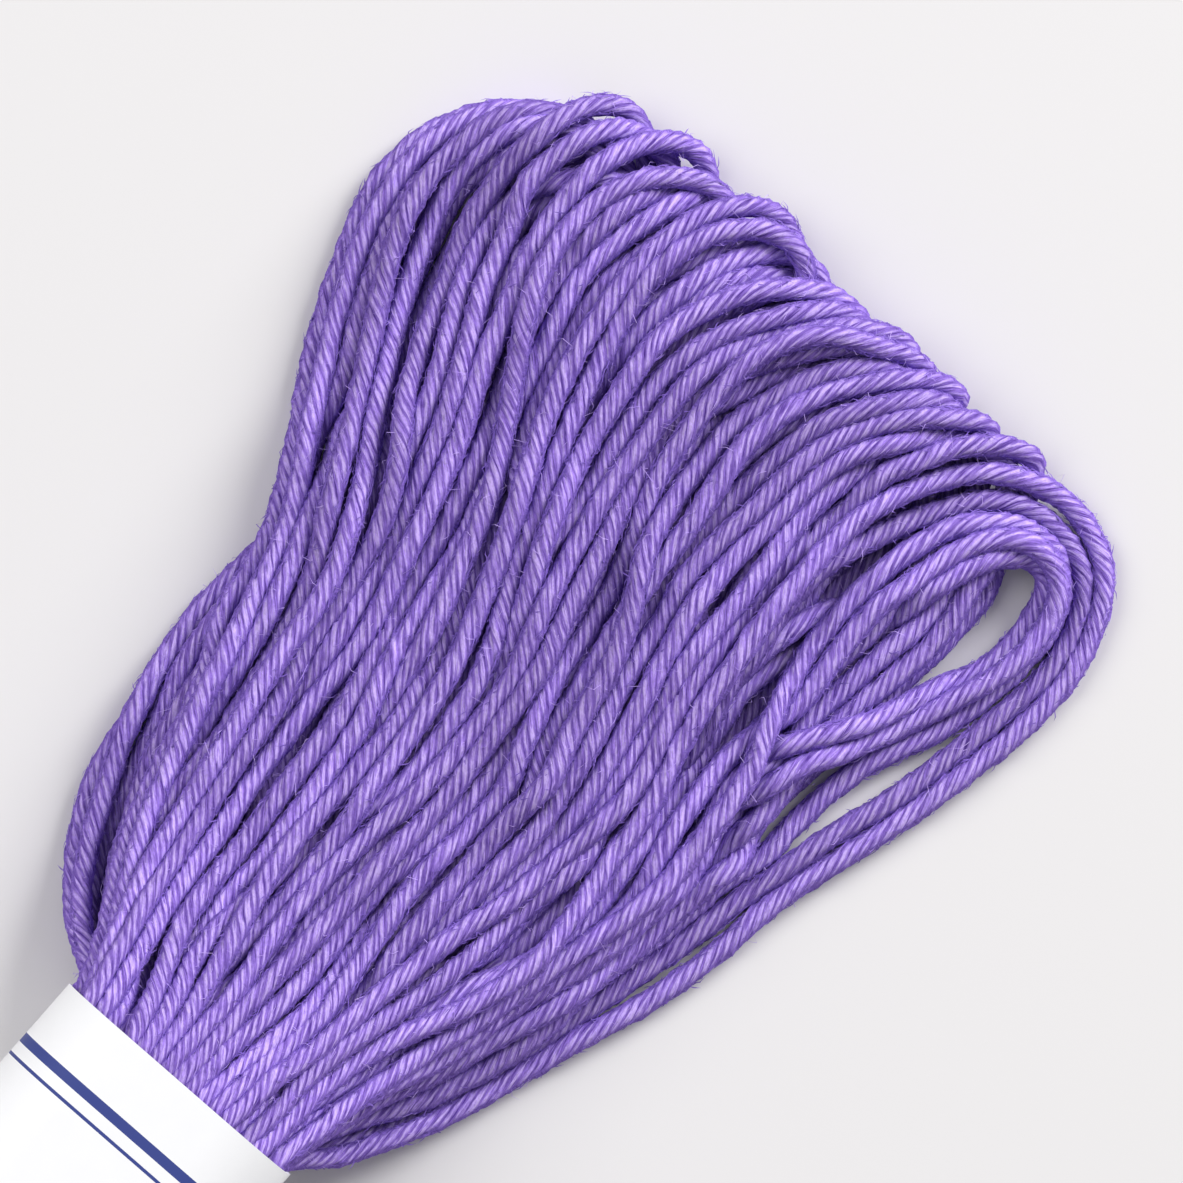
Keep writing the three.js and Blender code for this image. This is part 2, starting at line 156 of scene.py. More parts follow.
# Loops at the rim, each its own way: past the band, across, height. First the three at the left, then those
# of the eye from the outermost in, one that ends under them, and those in the hollow behind the eye.
rimLoops = [
    [(5, 7.5, 3.4), (10, 9.0, 3.2), (15, 10.6, 2.8), (20, 12.3, 2.2), (25, 15.2, 1.6), (30, 17.25, 1.2),
     (32, 17.7, 1.0), (33.5, 17.75, 0.9), (35, 17.45, 0.8), (36.3, 16.7, 0.8), (37.35, 15.75, 0.8),
     (38.1, 14.75, 0.7), (38.6, 13.65, 0.6), (38.5, 12.6, 0.5), (37.8, 11.6, 0.45), (36, 10.9, 0.45),
     (33, 10.5, 0.45), (30, 10.4, 0.45), (25, 10.4, 0.45), (20, 10.9, 0.45), (17, 11.65, 0.45),
     (15.5, 11.9, 0.45), (14, 11.85, 0.6), (12, 11.5, 0.9), (10, 11.0, 1.0), (8, 10.35, 1.1), (6, 9.55, 1.2),
     (4, 8.55, 1.3), (2.6, 7.6, 1.4)],
    [(5, 7.0, 2.8), (10, 8.1, 3.0), (15, 9.2, 2.9), (20, 10.35, 2.6), (23, 11.75, 2.4), (25, 13.5, 2.2),
     (27, 14.95, 2.0), (30, 16.25, 1.8), (32, 16.95, 1.7), (33.8, 17.1, 1.7), (35.5, 16.85, 1.6),
     (37, 16.0, 1.5), (38, 14.9, 1.3), (38.6, 13.8, 1.1), (38.4, 12.6, 0.9), (37.5, 11.4, 0.8), (35, 10.4, 0.8),
     (30, 9.9, 0.8), (25, 9.8, 0.8), (20, 10.2, 0.8), (17, 10.8, 0.8), (14.5, 10.8, 1.2), (12, 10.75, 1.3),
     (10, 10.4, 1.4), (8, 9.8, 1.5), (6, 9.0, 1.6), (4, 8.05, 1.7), (2.6, 7.2, 1.8)],
    [(5, 6.0, 1.2), (12, 7.5, 1.0), (20, 8.5, 0.9), (28, 9.5, 0.8), (34, 10.2, 0.8), (37, 10.4, 0.7),
     (37.8, 9.8, 0.6), (37, 9.2, 0.5), (32, 9.2, 0.45), (25, 9.4, 0.45), (18, 9.7, 0.45), (15, 10.1, 0.45),
     (13, 10.5, 0.45), (11.5, 10.85, 0.45), (10, 11.1, 0.45), (8.5, 11.0, 0.45), (7, 10.65, 0.45),
     (5.5, 10.05, 0.5), (4.5, 9.5, 0.6), (3.5, 8.8, 0.7), (2.6, 8.0, 0.8), (1.8, 7.2, 0.9)],
    [(5, -5.0, 3.0), (10, -6.9, 3.0), (13, -7.6, 3.3), (15, -7.6, 3.5), (17, -7.4, 3.6), (20, -7.1, 3.7),
     (22, -6.6, 3.8), (25, -6.0, 3.8), (27, -5.7, 3.9), (30, -5.4, 4.2), (32, -5.4, 4.3), (34, -5.6, 4.4),
     (35.5, -6.0, 4.4), (36.5, -6.4, 4.4), (37.5, -6.9, 4.3), (38.5, -7.5, 4.1), (39.3, -8.1, 3.8),
     (40, -8.9, 3.3), (40.4, -9.9, 2.8), (40.55, -11, 2.2), (40.45, -12.1, 1.7), (40.05, -13.1, 1.2),
     (39.05, -14.35, 0.8), (37.7, -15.2, 0.5), (35.6, -15.95, 0.45), (33.3, -16.1, 0.45), (29.1, -15.55, 0.45),
     (24.8, -14.3, 0.45), (20.5, -13.05, 0.45), (16.3, -11.85, 0.45), (12, -10.7, 0.45), (8, -9.6, 0.45),
     (5, -8.5, 0.45), (2.6, -7.25, 0.5), (1.3, -6.4, 0.6)],
    [(5, -4.8, 2.6), (12, -6.3, 2.6), (20, -6.6, 2.8), (25, -6.1, 2.9), (29, -5.7, 3.0), (31, -5.6, 3.0),
     (32.5, -5.7, 3.1), (34, -6.2, 3.2), (35, -6.8, 3.3), (36, -7.4, 3.2), (37, -8.05, 3.1), (38, -8.75, 2.9),
     (38.8, -9.45, 2.6), (39.4, -10.3, 2.3), (39.75, -11.3, 1.9), (39.6, -12.7, 1.3), (38.8, -13.9, 1.0),
     (37.3, -14.75, 0.8), (35.2, -15.2, 0.6), (33.3, -15.25, 0.5), (29.1, -14.55, 0.45), (24.8, -13.2, 0.45),
     (20.5, -12.2, 0.45), (16.3, -11.1, 0.45), (12, -10.0, 0.45), (8, -8.8, 0.45), (5, -7.75, 0.45),
     (2.6, -6.65, 0.5)],
    [(5, -6.1, 3.0), (10, -7.5, 3.0), (12, -8.1, 3.0), (14, -8.5, 3.0), (16, -9.0, 2.9), (18, -9.3, 2.8),
     (20, -9.4, 2.8), (22, -9.25, 2.8), (24, -9.0, 2.8), (26, -8.5, 2.8), (28, -8.1, 2.9), (30, -7.8, 2.9),
     (31.5, -7.7, 2.9), (33, -7.85, 2.8), (35, -8.3, 2.7), (36, -8.6, 2.6), (37, -9.0, 2.5), (38, -9.6, 2.3),
     (38.7, -10.4, 2.1), (39.1, -11.4, 1.8), (39.1, -12.6, 1.5), (38.6, -13.6, 1.3), (37.2, -14.35, 1.1),
     (35.5, -14.6, 0.9), (33.3, -14.3, 0.7), (31, -13.65, 0.6), (29.5, -13.2, 0.5), (28, -12.6, 0.45),
     (26, -11.8, 0.45), (24, -11.3, 0.45), (20, -11.05, 0.45), (16, -10.4, 0.45), (12, -9.4, 0.45),
     (8, -8.2, 0.45), (5, -7.0, 0.5), (2.6, -6.0, 0.6)],
    [(5, -6.3, 1.6), (12, -8.6, 1.3), (20, -9.6, 0.9), (26, -9.4, 0.9), (30, -9.35, 1.2), (32, -9.45, 1.5),
     (33.5, -9.6, 1.6), (35, -10.0, 1.7), (36.3, -10.3, 1.7), (37.2, -10.75, 1.7), (37.8, -11.35, 1.6),
     (38.15, -12.0, 1.5), (38.25, -12.6, 1.4), (37.95, -13.3, 1.3), (36.7, -13.8, 1.2), (35, -13.85, 1.1),
     (33.5, -13.5, 1.1), (31.5, -12.5, 1.3), (29.5, -11.45, 1.4), (27.5, -10.45, 1.6), (26.1, -9.7, 1.6),
     (25, -9.35, 1.6), (24, -9.0, 1.4), (20, -8.2, 1.3), (12, -7.0, 1.2), (5, -5.6, 1.2)],
    [(5, -6.6, 0.45), (8, -7.7, 0.45), (12, -9.0, 0.45), (16, -10.0, 0.45), (20, -10.5, 0.45),
     (24, -10.65, 0.45), (27, -10.9, 0.45), (30.7, -11.5, 0.45), (34, -11.5, 0.45), (35.5, -11.4, 0.45),
     (36.5, -11.1, 0.45), (37.2, -10.8, 0.45), (37.3, -10.4, 0.45), (36.5, -10.25, 0.45), (35, -10.35, 0.45),
     (34, -10.4, 0.45), (30, -10.4, 0.45), (28, -10.2, 0.45), (25, -9.85, 0.45), (20, -9.4, 0.45),
     (16, -9.0, 0.6), (12, -8.2, 0.8), (5, -6.2, 0.9)],
    [(5, -5.2, 2.6), (12, -7.4, 2.6), (15.5, -8.7, 2.6), (17.5, -9.0, 2.7), (19, -8.7, 2.7), (20.5, -8.35, 2.7),
     (22, -8.15, 2.7), (23.3, -8.0, 2.6), (24.5, -8.1, 2.4), (26, -8.45, 2.2), (27, -8.8, 2.1), (28, -8.9, 2.1),
     (29.5, -8.7, 2.2), (31.5, -8.6, 2.2), (33, -8.75, 2.2), (34.5, -9.0, 2.2), (36, -9.35, 2.2),
     (37.2, -9.9, 2.2), (38, -10.6, 2.2), (38.55, -11.4, 2.2), (38.7, -12.3, 2.1), (38.4, -13.2, 2.0),
     (37.3, -13.85, 1.7), (35.5, -14.05, 1.5), (33.5, -13.85, 1.4), (32, -13.45, 1.4), (30, -12.75, 1.4),
     (28, -11.65, 1.5), (26, -10.45, 1.6), (24.6, -9.75, 1.6), (23.5, -9.4, 1.5), (22, -9.0, 1.4),
     (18, -8.4, 1.3), (12, -7.6, 1.2), (5, -6.0, 1.2)],
    [(5, -4.6, 2.8), (12, -7.2, 2.8), (15.5, -8.3, 2.9), (17, -8.0, 3.0), (19, -7.8, 2.9), (21, -7.5, 2.4),
     (23, -7.1, 1.9), (25, -6.8, 1.7), (26.8, -6.6, 1.6), (28, -6.9, 1.4), (29, -7.25, 1.2), (30, -7.6, 1.0),
     (31.5, -7.9, 1.0), (33.5, -8.2, 1.4), (36, -8.8, 1.2), (37.8, -9.4, 1.0), (38.6, -10.1, 0.8),
     (38.4, -10.5, 0.7), (37, -9.4, 0.5), (34, -8.0, 0.45), (30, -7.0, 0.45), (26, -6.9, 0.45), (20, -7.1, 0.45),
     (12, -6.5, 0.5), (5, -5.2, 0.5)],
    [(5, -3.9, 2.4), (12, -4.8, 2.4), (20, -5.4, 2.4), (25, -5.6, 2.5), (27.5, -5.8, 2.6), (28.5, -6.05, 2.7),
     (29.5, -6.4, 2.7), (30.3, -6.75, 2.6), (31, -7.15, 2.4), (31.6, -7.6, 2.1), (32.5, -8.2, 1.7),
     (34, -8.9, 1.4), (35.4, -9.1, 1.2), (35.8, -9.6, 1.0), (34.5, -9.8, 0.8), (30, -9.6, 0.8), (24, -9.4, 0.8),
     (18, -9.0, 0.8), (12, -8.0, 0.8), (5, -5.9, 0.8)],
]

# the far end is the same fan, plain and even
plainLoops = [
    (0.0, 7.2, 9.4, 10.6, 11.2, 11.8, 12.4, 34.0, 12.8, 39.6, 10.8, 9.4),
    (0.3, 3.6, 4.4, 5.0, 5.4, 6.0, 6.6, 35.0, 6.8, 41.6, 4.6, 2.4),
    (0.7, -2.4, -3.0, -3.2, -3.2, -3.0, -2.8, 35.0, -2.6, 41.8, -4.8, -7.0),
    (1.0, -6.0, -7.6, -8.6, -9.2, -9.4, -9.4, 34.0, -9.4, 40.0, -11.3, -13.2),
]

band = {
    "paper": 0.15,
    "corner": 3.2,
    "lap": (-2.0, 0.6),                     # where the strip starts and ends under the hank
    "cornerSteps": 9,
    "lengthSteps": 24,
    "give": (0.16, 7.0),                    # how far the paper gives over the strands, and over what length
    "lines": [(2.77, 0.43), (3.55, 0.14)],  # from the band's edge: middle and width
    "grain": (900, 4),                      # of the paper: scale and detail
    "grainShade": 0.97,
    "grainBump": 0.12,
    "roughness": 0.6,
    "creaseAngle": 40,
}


def curveThrough(key, values, at):
    # cubic curves through values that stand at rising keys
    slope = np.gradient(values, key, axis=0)
    i = np.clip(np.searchsorted(key, at, "right") - 1, 0, len(key) - 2)
    width = (key[i + 1] - key[i])[:, None]
    t = (at - key[i])[:, None] / width
    a, b = values[i], values[i + 1]
    c, d = slope[i] * width, slope[i + 1] * width
    return a + t * c + t * t * (3 * (b - a) - 2 * c - d) + t ** 3 * (2 * (a - b) + c + d)


def distances(points):
    # the way along a line of points up to each of them
    return np.r_[0, np.cumsum(np.linalg.norm(np.diff(points[:, :3], axis=0), axis=1))]


def evenlySpaced(curve, count):
    length = distances(curve)
    at = np.linspace(0, length[-1], count)
    return np.stack([np.interp(at, length, column) for column in curve.T], 1)


def roundedCurve(points):
    # a smooth curve through a few points
    spans = np.linalg.norm(np.diff(points[:, :3], axis=0), axis=1)
    key = np.r_[0, np.cumsum(np.sqrt(spans))]
    return curveThrough(key, points, np.linspace(0, key[-1], hank["stepsPerSpan"] * len(points)))


def smoothStep(value, low, high):
    t = np.clip((value - low) / (high - low), 0, 1)
    return t * t * (3 - 2 * t)


def loosened(tight, loose, past):
    # a size of the thread at some way past the band
    return tight + (loose - tight) * smoothStep(past, 0, thread["loosen"])


def mouthSlots():
    # places of the strands where they pass through the band, in rows, and how deep each lies under the paper
    inset = thread["diameter"][0] / 2 + 2 * band["paper"]
    width, height = bandHigh[1] - bandLow[1], bandHigh[2] - bandLow[2]
    half, low, high = width / 2 - inset, inset, height - inset
    corner = band["corner"] - inset
    stagger = hank["stagger"]
    slots = []
    for row, level in enumerate(np.linspace(low, high, hank["rows"])):
        over = max(0.0, corner - min(level - low, high - level))
        wide = half - corner + math.sqrt(corner ** 2 - over ** 2)
        count = round(2 * wide / thread["room"][0]) + hank["crowding"]
        shift = stagger * (2 * wide / count) * (-1) ** row
        for place in np.linspace(wide, -wide, count):
            aside = max(0.0, abs(place) - half + corner)
            depth = high - corner + math.sqrt(corner ** 2 - aside ** 2) - level
            slots.append((place * (1 - stagger / count) + shift, level, depth, row))
    slots = np.array(slots)
    lower = slots[:, 3] < hank["rows"] / 2
    return slots[lower], slots[~lower]


lowerSlots, upperSlots = mouthSlots()
loopCount = min(len(lowerSlots), len(upperSlots), hank["loops"])
report("%d loops of thread" % loopCount)


def tablePath(row, layers, wander, tipSpread, rng):
    # one loop's way out and back from its row of a table: past the band, across, height, and how it is held
    at = dict(zip(loopColumns, row))
    topLayer, coveredLayer, backLayer = layers
    topHold, hiddenHold = hank["hold"][:2]
    climb = hank["climb"]
    dropStart, dropEnd = [share * math.pi for share in hank["drop"]]
    tip = at["tip"] + rng.normal(0, tipSpread)
    phase, waves = rng.uniform(0, 2 * math.pi, 2), rng.uniform(*hank["wanderWaves"], 2)

    def stray(limb, past):
        return wander * math.sin(2 * math.pi * past / waves[limb] + phase[limb])

    path = []
    for past in (5, 10, 15, 20, 25, 30):
        risen = smoothStep(past, at["rises"] - climb, at["rises"])
        onTop = risen * smoothStep(-past, -at["dives"] - climb, -at["dives"])
        path.append((past, at["out%d" % past] + stray(0, past), coveredLayer + (topLayer - coveredLayer) * onTop,
                     hiddenHold + (topHold - hiddenHold) * onTop))
    outLayer, outHold = path[-1][2:]
    for turn in np.linspace(0, math.pi, hank["turnSteps"]):
        side = at["outTurn"] if turn < math.pi / 2 else at["backTurn"]
        drop = smoothStep(turn, dropStart, dropEnd)
        path.append((at["turnAt"] + (tip - at["turnAt"]) * math.sin(turn),
                     at["tipAcross"] + (side - at["tipAcross"]) * abs(math.cos(turn)),
                     outLayer + (backLayer - outLayer) * drop, outHold + (hiddenHold - outHold) * drop))
    for past, share in backShape[::-1]:
        path.append((past, at["backTurn"] * share + stray(1, past), backLayer, hiddenHold))
    return path


def laidLoop(path, outSlot, backSlot):
    # a loop from its place in the band, down to its path, round and back into the band
    tip = max(range(len(path)), key=lambda i: path[i][0])
    outLength, backLength = hank["comeDown"]
    points = [(past, outSlot[0], outSlot[1], path[0][3]) for past in hank["mouth"]]
    for i, (past, across, height, hold) in enumerate(path):
        slot, length = (outSlot, outLength) if i <= tip else (backSlot, backLength)
        points.append((past, across, slot[1] + (height - slot[1]) * smoothStep(past, 0, length), hold))
    points += [(past, backSlot[0], backSlot[1], path[-1][3]) for past in hank["mouth"][::-1]]
    return evenlySpaced(roundedCurve(np.array(points)), hank["pointsPerLoop"])


def slotsInOrder(slots, acrosses):
    # a place in the band for each of some limbs, in the order in which they lie across the hank
    taken = np.empty((len(acrosses), slots.shape[1]))
    taken[np.argsort(-np.array(acrosses), kind="stable")] = slots[np.argsort(-slots[:, 0], kind="stable")]
    return taken


def laidLoops(paths, groups):
    # all loops of one end; each group of limbs takes the places nearest to the paper that are still free
    byDepth = upperSlots[np.argsort(upperSlots[:, 2], kind="stable")]
    outSlots = np.empty((len(paths), upperSlots.shape[1]))
    start = 0
    for group in groups:
        free = byDepth[start:start + len(group)]
        outSlots[group] = slotsInOrder(free, [paths[i][0][1] for i in group])
        start += len(group)
    inFan = [next(point[1] for point in path[::-1] if point[0] >= hank["orderAt"]) for path in paths]
    backSlots = slotsInOrder(lowerSlots[:len(paths)], inFan)
    return np.array([laidLoop(*parts) for parts in zip(paths, outSlots, backSlots)])


settling = {
    "rounds": 190,
    "lastRounds": 50,
    "fall": 0.02,                 # sag in each round
    "lastFall": 0.2,              # share of it in the last rounds
    "searchEvery": 5,             # rounds between searches for neighbours
    "searchReach": 1.35,          # of those, in strands
    "stiffness": 0.175,
    "stretch": 0.35,
    "push": 1.6,                  # how hard strands push each other aside
    "rest": 1.05,                 # height of a strand that lies on the table, in radii
    "even": 0.2,                  # smoothing of the settled strands
    "unrest": 0.09,               # small bends left in them
    "unrestRounds": 12,
    "unrestEven": 0.33,
    "unrestFrom": 3,              # how far past the band the bends are whole
}


def closePairs(points, strand, reach):
    # pairs of points of different strands that lie near each other, found cell by cell
    cell = np.floor((points - points.min(0)) / reach).astype(np.int64) + 1
    span = cell.max(0) + 2
    key = (cell[:, 0] * span[1] + cell[:, 1]) * span[2] + cell[:, 2]
    order = np.argsort(key, kind="stable")
    sortedKey = key[order]
    first, second = [], []
    for dx, dy, dz in [(x, y, z) for x in (0, 1) for y in (-1, 0, 1) for z in (-1, 0, 1)]:
        if (dx, dy, dz) < (0, 0, 0):
            continue
        wanted = sortedKey + (dx * span[1] + dy) * span[2] + dz
        low = np.searchsorted(sortedKey, wanted, "left")
        count = np.searchsorted(sortedKey, wanted, "right") - low
        a = np.repeat(np.arange(len(order)), count)
        b = np.arange(count.sum()) - np.repeat(np.cumsum(count) - count, count) + np.repeat(low, count)
        if (dx, dy, dz) == (0, 0, 0):
            a, b = a[a < b], b[a < b]
        a, b = order[a], order[b]
        apart = strand[a] != strand[b]
        a, b = a[apart], b[apart]
        near = ((points[a] - points[b]) ** 2).sum(1) < reach ** 2
        first.append(a[near])
        second.append(b[near])
    return np.concatenate(first), np.concatenate(second)


def bends(lines):
    # how far each inner point of some lines stands off the middle of its neighbours
    return lines[:, 2:] + lines[:, :-2] - 2 * lines[:, 1:-1]


def pushApart(points, first, second, size):
    # pairs of points that are nearer than a strand's room move away from each other
    gap = points[first] - points[second]
    apart = np.sqrt((gap ** 2).sum(1)) + 1e-9
    push = gap * (0.5 * np.maximum(size - apart, 0) / apart)[:, None]
    touching = (apart < size).astype(float)
    hits = np.bincount(first, touching, len(points)) + np.bincount(second, touching, len(points))
    for axis in range(3):
        move = np.bincount(first, push[:, axis], len(points)) - np.bincount(second, push[:, axis], len(points))
        points[:, axis] += settling["push"] * move / np.maximum(hits, settling["push"])


def settle(laid):
    # the strands sag, push each other aside and come to rest on the table
    laid, hold = laid[:, :, :3], laid[:, :, 3:]
    loops = laid.copy()
    points = loops.reshape(-1, 3)           # the same points in one list
    strand = np.repeat(np.arange(loops.shape[0]), loops.shape[1])
    held = laid[:, :, 0] < hank["mouth"][-1]
    lengths = np.linalg.norm(np.diff(laid, axis=1), axis=2)
    laidBends = bends(laid)
    tight, loose = thread["room"]
    lowest = thread["diameter"][1] / 2 * settling["rest"]
    for turn in range(settling["rounds"]):
        if turn % settling["searchEvery"] == 0:
            first, second = closePairs(points, strand, loose * settling["searchReach"])
            size = loosened(tight, loose, points[first, 0])
        early = turn < settling["rounds"] - settling["lastRounds"]
        loops[:, :, 2] -= settling["fall"] * (1.0 if early else settling["lastFall"])
        loops[:, :, :2] += hold * (laid[:, :, :2] - loops[:, :, :2])
        loops[:, 1:-1] += settling["stiffness"] * (bends(loops) - laidBends)
        step = loops[:, 1:] - loops[:, :-1]
        length = np.linalg.norm(step, axis=2)
        fix = step * (settling["stretch"] * (length - lengths) / length)[:, :, None]
        loops[:, :-1] += fix
        loops[:, 1:] -= fix
        pushApart(points, first, second, size)
        loops[:, :, 2] = np.maximum(loops[:, :, 2], lowest)
        loops[held] = laid[held]
    unrest = np.random.default_rng(hank["seed"] + 3).normal(0, 1, loops.shape)
    for turn in range(settling["unrestRounds"]):
        unrest[:, 1:-1] += settling["unrestEven"] * bends(unrest)
    loops[:, 1:-1] += settling["even"] * bends(loops)
    loops += settling["unrest"] / unrest.std() * unrest * smoothStep(loops[:, :, :1], 0, settling["unrestFrom"])
    loops[:, :, 2] = np.maximum(loops[:, :, 2], lowest)
    return loops


def hiddenLoops(table, count, layers, rng):
    table = np.array(table)
    rows = curveThrough(table[:, 0], table[:, 1:], (np.arange(count) + 0.5) / count)
    paths = []
    for row in rows:
        layer, backLayer = rng.uniform(*layers), rng.uniform(*hank["backLayer"])
        neverOnTop = (99, 0, *row)
        paths.append(tablePath(neverOnTop, (layer, layer, backLayer), hank["wander"][1], hank["tipSpread"], rng))
    return paths


def openEnd():
    rng = np.random.default_rng(hank["seed"])
    paths = [tablePath(row, (hank["topLayer"], hank["coveredLayer"], rng.uniform(*hank["backLayer"])),
                       hank["wander"][0], 0.0, rng) for row in topLoops]
    paths += [[(*point, hank["hold"][2]) for point in path] for path in rimLoops]
    shown = len(paths)
    paths += hiddenLoops(underLoops, loopCount - shown, hank["underLayer"], rng)
    skin = [i for i in range(shown) if paths[i][0][2] >= hank["skin"]]
    covered = [i for i in range(shown) if i not in skin]
    return settle(laidLoops(paths, [skin, covered, list(range(shown, loopCount))]))


def plainEnd():
    rng = np.random.default_rng(hank["seed"] + 1)
    paths = hiddenLoops(plainLoops, loopCount, (hank["underLayer"][0], hank["topLayer"]), rng)
    return settle(laidLoops(paths, [list(range(loopCount))]))


cover = {
    "cell": 0.25,    # of the grid in which the highest and the lowest strand are noted
    "around": 2,     # cells round a place that are looked at
    "margin": 2,     # of the grid round the hank
    "depth": 0.62,   # a strand deeper than this under all that is near it is coarse
    "under": 0.2,    # how near to the lowest a strand that shows from below is
    "top": 0.25,     # how near to the highest a strand on top is
    "past": -1,      # nothing shows further inside the band
    "step": 0.2,     # between the places along a strand that are asked for
    "share": 0.3,    # of a place that has to show
}


def showing(loops):
    # which points of the strands can be seen, from above, from below or past the rim, and which lie on top
    cell, around, margin = cover["cell"], range(-cover["around"], cover["around"] + 1), cover["margin"]
    dense = np.concatenate([loops[:, :-1] + (loops[:, 1:] - loops[:, :-1]) * t for t in (0, 0.33, 0.67)], 1)
    flat = dense.reshape(-1, 3)
    plan = loops.reshape(-1, 3)[:, :2]
    corner = plan.min(0) - margin
    shape = ((plan.max(0) + margin - corner) / cell).astype(int)
    top, low = np.full(shape, -9.0), np.full(shape, 99.0)
    for dx, dy in [(x, y) for x in (-1, 0, 1) for y in (-1, 0, 1)]:
        at = np.floor((flat[:, :2] + np.array([dx, dy]) * cell - corner) / cell).astype(int)
        np.maximum.at(top, (at[:, 0], at[:, 1]), flat[:, 2])
        np.minimum.at(low, (at[:, 0], at[:, 1]), flat[:, 2])
    leastTop, mostLow = top.copy(), low.copy()
    for dx, dy in [(x, y) for x in around for y in around]:
        leastTop = np.minimum(leastTop, np.roll(top, (dx, dy), (0, 1)))
        mostLow = np.maximum(mostLow, np.roll(low, (dx, dy), (0, 1)))
    at = np.floor((loops[:, :, :2] - corner) / cell).astype(int)
    at, level = (at[:, :, 0], at[:, :, 1]), loops[:, :, 2]
    seen = (level > leastTop[at] - cover["depth"]) | (level < mostLow[at] + cover["under"])
    onTop = level > top[at] - cover["top"]
    out = loops[:, :, 0] > cover["past"]
    return seen & out, onTop & out


def strandRings(path, seen, fineStep, rng):
    # the rings of one strand: their middles, how far the plies have turned, and how far along they are
    length = distances(path)
    at, turned = [0.0], [rng.uniform(0, 2 * math.pi)]
    drift = rng.uniform(0, 2 * math.pi, 2)
    places = np.arange(0, length[-1], cover["step"])
    shows = np.interp(places, length, seen.astype(float)) > cover["share"]
    while at[-1] < length[-1]:
        fine = shows[min(int(at[-1] / cover["step"]), len(shows) - 1)]
        step = fineStep if fine else thread["coarseStep"]
        waves = sum(math.sin(at[-1] / wave + phase) for wave, phase in zip(thread["driftWaves"], drift))
        tight = 1 + thread["layDrift"] * waves / 2
        at.append(at[-1] + step)
        turned.append(turned[-1] - (2 * math.pi * step / thread["lay"] * tight if fine else 0.0))
    at[-1] = length[-1]
    at = np.array(at)
    return curveThrough(length, path, at), np.array(turned), at


def crossways(along):
    # the level and the upward direction across each step of a strand
    side = np.cross([0.0, 0.0, 1.0], along)
    side /= np.linalg.norm(side, axis=1)[:, None]
    return side, np.cross(along, side)


def pliedTube(path, seen, fineStep, rng):
    # the points of one strand's rings, their angles round it and their places along it
    middle, turned, at = strandRings(path, seen, fineStep, rng)
    along = np.gradient(middle, axis=0)
    along /= np.linalg.norm(along, axis=1)[:, None]
    side, up = crossways(along)
    sides, square = 2 * thread["plies"], thread["square"]
    angle = turned[:, None] + 2 * math.pi * np.arange(sides) / sides
    cosine, sine = np.cos(angle), np.sin(angle)
    pressed = (np.abs(cosine) ** square + np.abs(sine) ** square) ** (-1 / square)
    ply = 1 + thread["uneven"] * rng.normal(0, 1, thread["plies"])
    crest = np.where(np.arange(sides) % 2 == 0, 1 + thread["relief"], 1 - thread["relief"])
    phases = rng.uniform(0, 2 * math.pi, 3)
    slub = sum(np.sin(at / wave + phase) for wave, phase in zip(thread["slubWaves"], phases)) / 3
    width = loosened(*thread["diameter"], np.abs(middle[:, 0]) - bandHigh[0]) * (1 + thread["slub"] * slub)
    radius = (crest * np.repeat(ply, 2) / 2)[None, :] * width[:, None] * pressed
    out = cosine[:, :, None] * side[:, None] + sine[:, :, None] * up[:, None]
    ring = middle[:, None] + radius[:, :, None] * out
    ring[:, :, 2] = np.maximum(ring[:, :, 2], thread["offTable"])
    return ring, angle, at


def strandMesh(name, strands, fineStep, rng):
    # many strands in one mesh: plied tubes with closed ends, and a UV map round and along each
    verts, faces, uvs, tones, flanks = [], [], [], [], []
    start = 0
    for path, seen in strands:
        ring, angle, at = pliedTube(path, seen, fineStep, rng)
        count, sides = angle.shape
        verts.append(ring.reshape(-1, 3))
        i, k = np.meshgrid(np.arange(count - 1), np.arange(sides), indexing="ij")
        a = start + i * sides + k
        b = start + i * sides + (k + 1) % sides
        faces += np.stack([a, b, b + sides, a + sides], -1).reshape(-1, 4).tolist()
        corners = [(k, i), (k + 1, i), (k + 1, i + 1), (k, i + 1)]
        uvs.append(np.stack([np.stack([turn / sides, at[row]], -1) for turn, row in corners], 2).reshape(-1, 2))
        faces.append(list(range(start + sides - 1, start - 1, -1)))
        faces.append(list(range(start + (count - 1) * sides, start + count * sides)))
        uvs.append(np.zeros((2 * sides, 2)))
        tones.append(np.full(count * sides, rng.uniform(0, 1)))
        # how far each ring point faces sideways: the mask of the felt and the painted side shade
        flanks.append(1 - np.abs(np.sin(angle)).ravel())
        start += count * sides
    mesh = bpy.data.meshes.new(name)
    mesh.from_pydata((np.concatenate(verts) * mm).tolist(), [], faces)
    layer = mesh.uv_layers.new(name="threadMap")
    layer.data.foreach_set("uv", np.concatenate(uvs).astype(np.float32).ravel())
    for title, values in (("strandTone", tones), ("strandFlank", flanks)):
        layer = mesh.attributes.new(title, "FLOAT", "POINT")
        layer.data.foreach_set("value", np.concatenate(values).astype(np.float32))
    mesh.polygons.foreach_set("use_smooth", np.ones(len(mesh.polygons), bool))
    return mesh


def threadPiece(name, mesh, material):
    piece = bpy.data.objects.new(name, mesh)
    scene.collection.objects.link(piece)
    piece.data.materials.append(material)
    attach(piece, "root")
    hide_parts("hank")
    print(piece.name, sum(len(p.vertices) - 2 for p in mesh.polygons), "triangles")


fibres = {
    "offTable": 0.05,
    "foot": 0.95,             # how far from a strand's middle they start, in radii
    "specular": 0.1,
}


